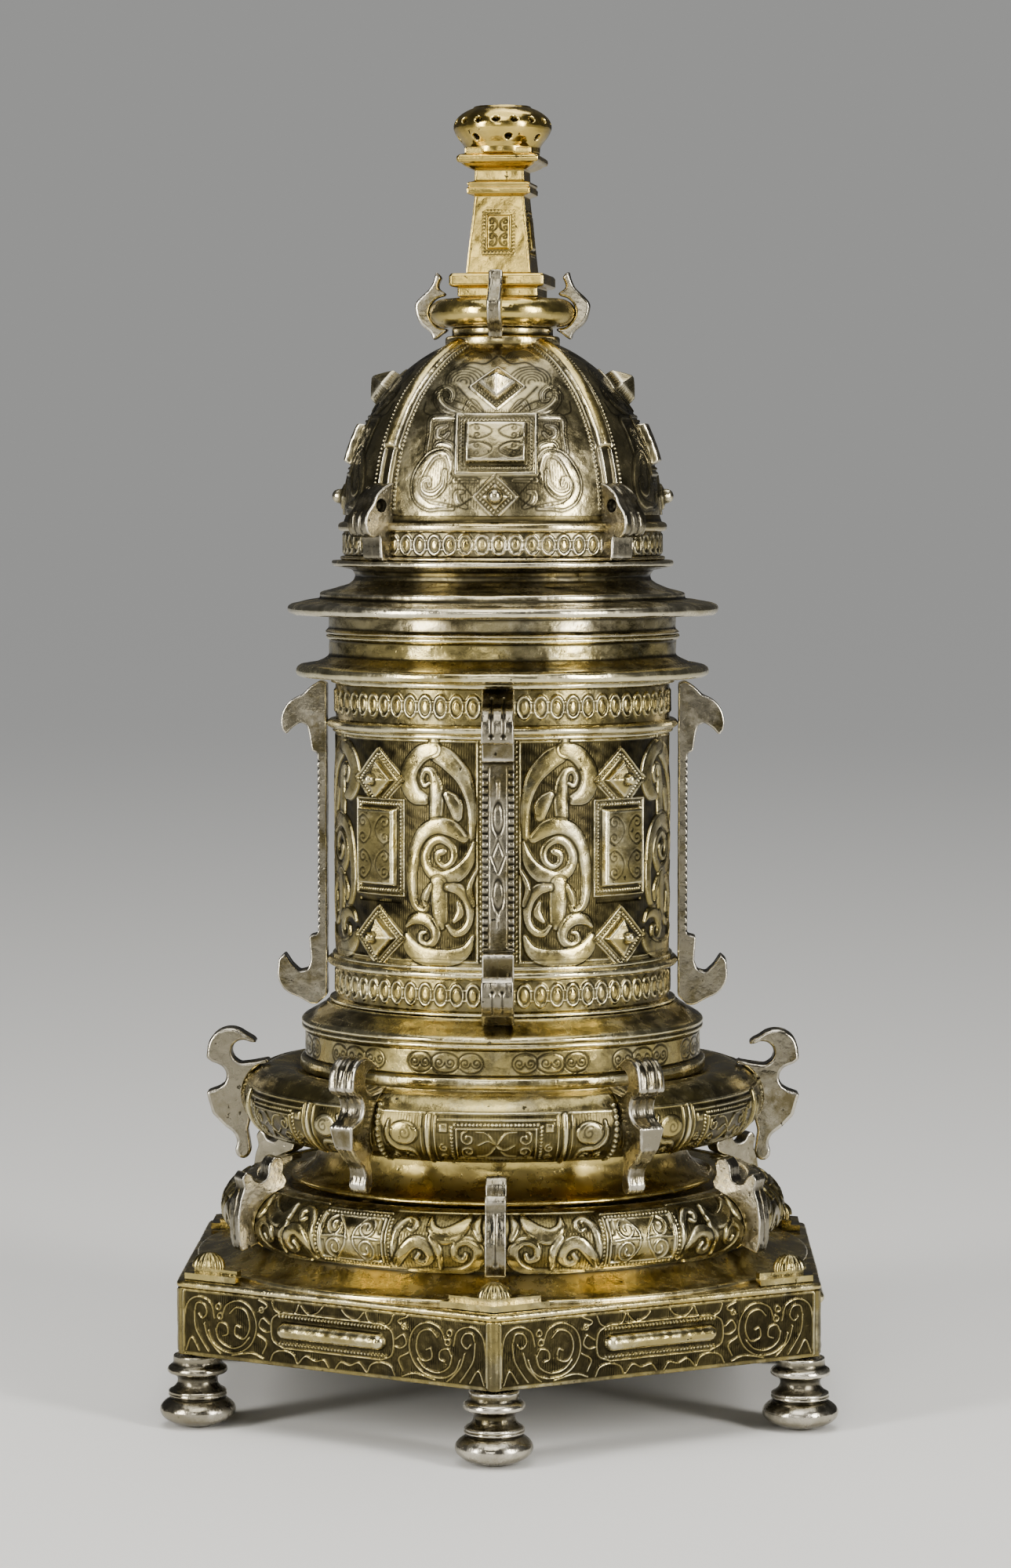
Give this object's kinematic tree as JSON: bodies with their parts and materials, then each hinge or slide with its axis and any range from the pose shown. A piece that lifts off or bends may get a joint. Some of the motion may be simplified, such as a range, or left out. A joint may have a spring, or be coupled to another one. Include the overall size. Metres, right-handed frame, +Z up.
{
  "type": "monstrance",
  "caption": "Gilt tower monstrance: hexagonal footed base, round host chamber with scroll buttresses, lift-off domed lid, and a turning obelisk finial with an open socket.",
  "frame": {"origin": "centre of the hexagonal foot at the level of the surface it stands on", "axes": "+Z up along the tower's axis, a corner of the foot towards -Y at the front, +X to the right"},
  "size_m": [0.2046, 0.233, 0.4],
  "materials": {
    "gilt_engraved": "engraved silver gilt, gilding worn pale on the high parts, dark patina in the ground",
    "gilt_bright": "bright, smooth silver gilt of a deeper gold",
    "silver_worn": "cast silver with the gilding worn off, softly polished",
    "steel": "plain turned steel"
  },
  "bodies": {
    "stand": {"base_bracket_1": "silver_worn", "base_bracket_2": "silver_worn", "base_bracket_3": "silver_worn", "base_bracket_4": "silver_worn", "base_bracket_5": "silver_worn", "base_bracket_6": "silver_worn", "base_floor_plate": "silver_worn", "base_side_band": "gilt_engraved", "base_top_shell": "gilt_engraved", "body_cornice": "gilt_engraved", "buttress_back": "silver_worn", "buttress_front": "silver_worn", "buttress_left": "silver_worn", "buttress_right": "silver_worn", "chamber_wall": "gilt_engraved", "corner_step_1": "gilt_engraved", "corner_step_2": "gilt_engraved", "corner_step_3": "gilt_engraved", "corner_step_4": "gilt_engraved", "corner_step_5": "gilt_engraved", "corner_step_6": "gilt_engraved", "dish": "gilt_bright", "drum": "gilt_engraved", "foot_1": "silver_worn", "foot_2": "silver_worn", "foot_3": "silver_worn", "foot_4": "silver_worn", "foot_5": "silver_worn", "foot_6": "silver_worn", "spacer_stud_1": "silver_worn", "spacer_stud_2": "silver_worn", "spacer_stud_3": "silver_worn", "tie_rod": "steel", "tie_rod_nut": "steel", "torus_bracket_1": "silver_worn", "torus_bracket_2": "silver_worn", "torus_bracket_3": "silver_worn", "torus_bracket_4": "silver_worn", "torus_bracket_5": "silver_worn", "torus_bracket_6": "silver_worn", "upper_torus": "gilt_engraved"},
    "lid": {"dome": "gilt_engraved", "dome_bracket_1": "silver_worn", "dome_bracket_2": "silver_worn", "dome_bracket_3": "silver_worn", "dome_bracket_4": "silver_worn", "lantern_bracket_1": "silver_worn", "lantern_bracket_2": "silver_worn", "lantern_bracket_3": "silver_worn", "lantern_bracket_4": "silver_worn", "lantern_ring": "gilt_bright", "lid_bezel": "gilt_bright", "lid_cornice": "gilt_engraved"},
    "finial": {"finial_nut": "steel", "knob": "gilt_engraved", "obelisk": "gilt_engraved", "obelisk_plinth": "gilt_engraved"},
    "wing_nut": {"wing_nut": "steel"}
  },
  "joints": [
    {"name": "lid_lift", "type": "slide", "parent": "stand", "child": "lid", "axis": [0, 0, 1], "range_m": [0, 0.06]},
    {"name": "finial_turn", "type": "hinge", "parent": "lid", "child": "finial", "pos_m": [0, 0, 0.345], "axis": [0, 0, 1], "continuous": true},
    {"name": "wing_nut_turn", "type": "hinge", "parent": "stand", "child": "wing_nut", "pos_m": [0, 0, 0.0175], "axis": [0, 0, 1], "continuous": true}
  ]
}
